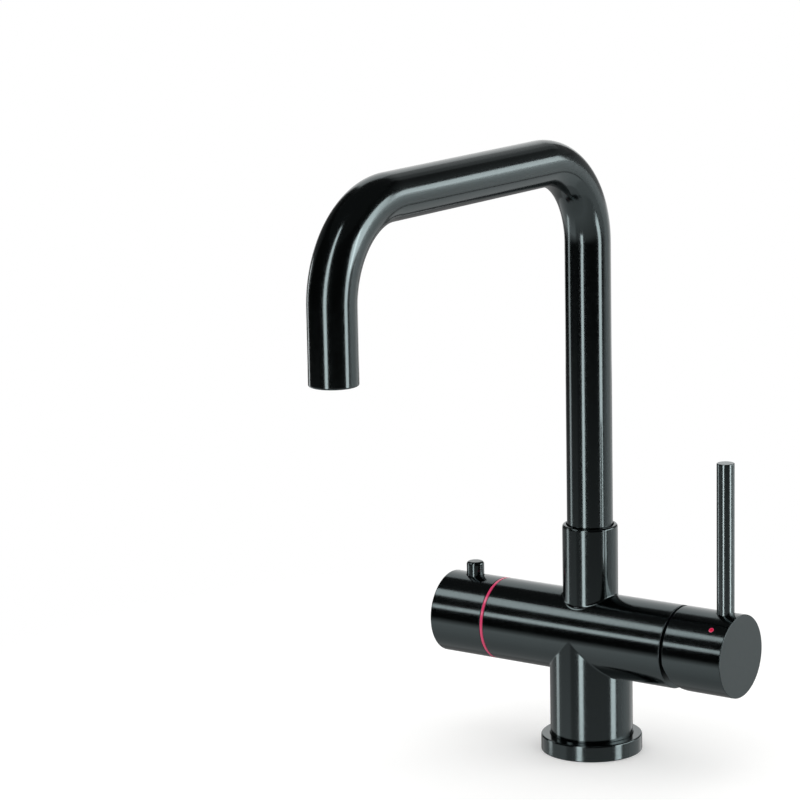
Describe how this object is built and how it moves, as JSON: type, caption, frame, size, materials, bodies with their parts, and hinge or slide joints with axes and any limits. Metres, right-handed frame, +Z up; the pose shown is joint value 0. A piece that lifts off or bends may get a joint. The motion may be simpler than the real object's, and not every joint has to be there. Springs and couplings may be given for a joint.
{
  "type": "boiling water tap",
  "caption": "Kitchen mixer tap with a swivelling square spout, a side lever for hot and cold water and a lockable knob for boiling water.",
  "frame": {"origin": "centre of the foot on the worktop, on the column's axis", "axes": "+Z up; the crossbar lies along X with the mixer lever at +X and the boiling knob at -X; the spout reaches towards -Y"},
  "size_m": [0.1844, 0.2687, 0.3396],
  "materials": {
    "gunmetal": "brushed, dark gunmetal coating",
    "brass": "machined",
    "steel": "plain",
    "rubber": "matt",
    "ceramic": "lapped ceramic",
    "white_plastic": "moulded",
    "grey_plastic": "moulded",
    "red_enamel": "glossy red",
    "blue_enamel": "glossy blue"
  },
  "bodies": {
    "root": {"body_casting": "gunmetal", "column": "gunmetal", "spout_stop_screw": "steel", "inner_tube_oring": "rubber", "base_flange": "gunmetal", "base_gasket": "rubber", "hose_manifold": "brass", "manifold_gasket": "rubber", "manifold_bolt": "steel", "hot_hose_socket": "brass", "cold_hose_socket": "brass", "boiling_hose_socket": "brass", "front_stud_socket": "brass", "rear_stud_socket": "brass", "cartridge_seal": "rubber", "cartridge_base": "white_plastic", "cartridge_fixed_disc": "ceramic", "cartridge_housing": "grey_plastic", "cartridge_nut": "brass", "dome_cover": "gunmetal", "hot_ring": "red_enamel", "boil_valve_seal": "rubber", "boil_valve_body": "brass", "boil_fixed_disc": "ceramic", "stop_collar": "white_plastic"},
    "spout": {"spout_tube": "gunmetal", "spout_bush": "brass", "spout_bearing_ring": "white_plastic", "spout_oring_upper": "rubber", "spout_oring_lower": "rubber", "boiling_tube": "steel", "aerator_housing": "gunmetal", "aerator_seal": "rubber", "aerator_insert": "grey_plastic"},
    "knob": {"boil_knob": "gunmetal", "knob_screw": "steel", "boil_spindle": "brass", "boil_turning_disc": "ceramic", "spindle_clip": "steel", "lock_spring": "steel"},
    "button": {"lock_button": "gunmetal", "button_clip": "steel"},
    "rotor": {"cartridge_rotor": "white_plastic", "stem_pin": "steel"},
    "disc": {"cartridge_moving_disc": "ceramic", "disc_carrier": "grey_plastic"},
    "lever": {"lever_cap": "gunmetal", "lever_rod": "gunmetal", "cartridge_stem": "brass", "cap_set_screw": "steel", "cap_screw_plug": "gunmetal", "hot_mark": "red_enamel", "cold_mark": "blue_enamel"}
  },
  "joints": [
    {"name": "spout_swivel", "type": "hinge", "parent": "root", "child": "spout", "pos_m": [0, 0, 0.11], "axis": [0, 0, 1], "range_deg": [-75, 75]},
    {"name": "knob_turn", "type": "hinge", "parent": "root", "child": "knob", "pos_m": [-0.075, 0, 0.0654], "axis": [1, 0, 0], "range_deg": [0, 90]},
    {"name": "lock_press", "type": "slide", "parent": "knob", "child": "button", "axis": [0, 0, -1], "range_m": [0, 0.0025], "stiffness_N_per_m": 400, "springref_m": -0.004, "deforming": ["lock_spring"]},
    {"name": "mix_turn", "type": "hinge", "parent": "root", "child": "rotor", "pos_m": [0.052, 0, 0.0654], "axis": [1, 0, 0], "range_deg": [-45, 45]},
    {"name": "lever_tilt", "type": "hinge", "parent": "rotor", "child": "lever", "pos_m": [0.052, 0, 0.0654], "axis": [0, 1, 0], "range_deg": [0, 15]},
    {"name": "disc_slide", "type": "slide", "parent": "rotor", "child": "disc", "axis": [0, 0, 1], "range_m": [0, 0.00272]}
  ],
  "couplings": [
    {"joint": "disc_slide", "follows": "lever_tilt", "m_per_rad": 0.01038}
  ]
}
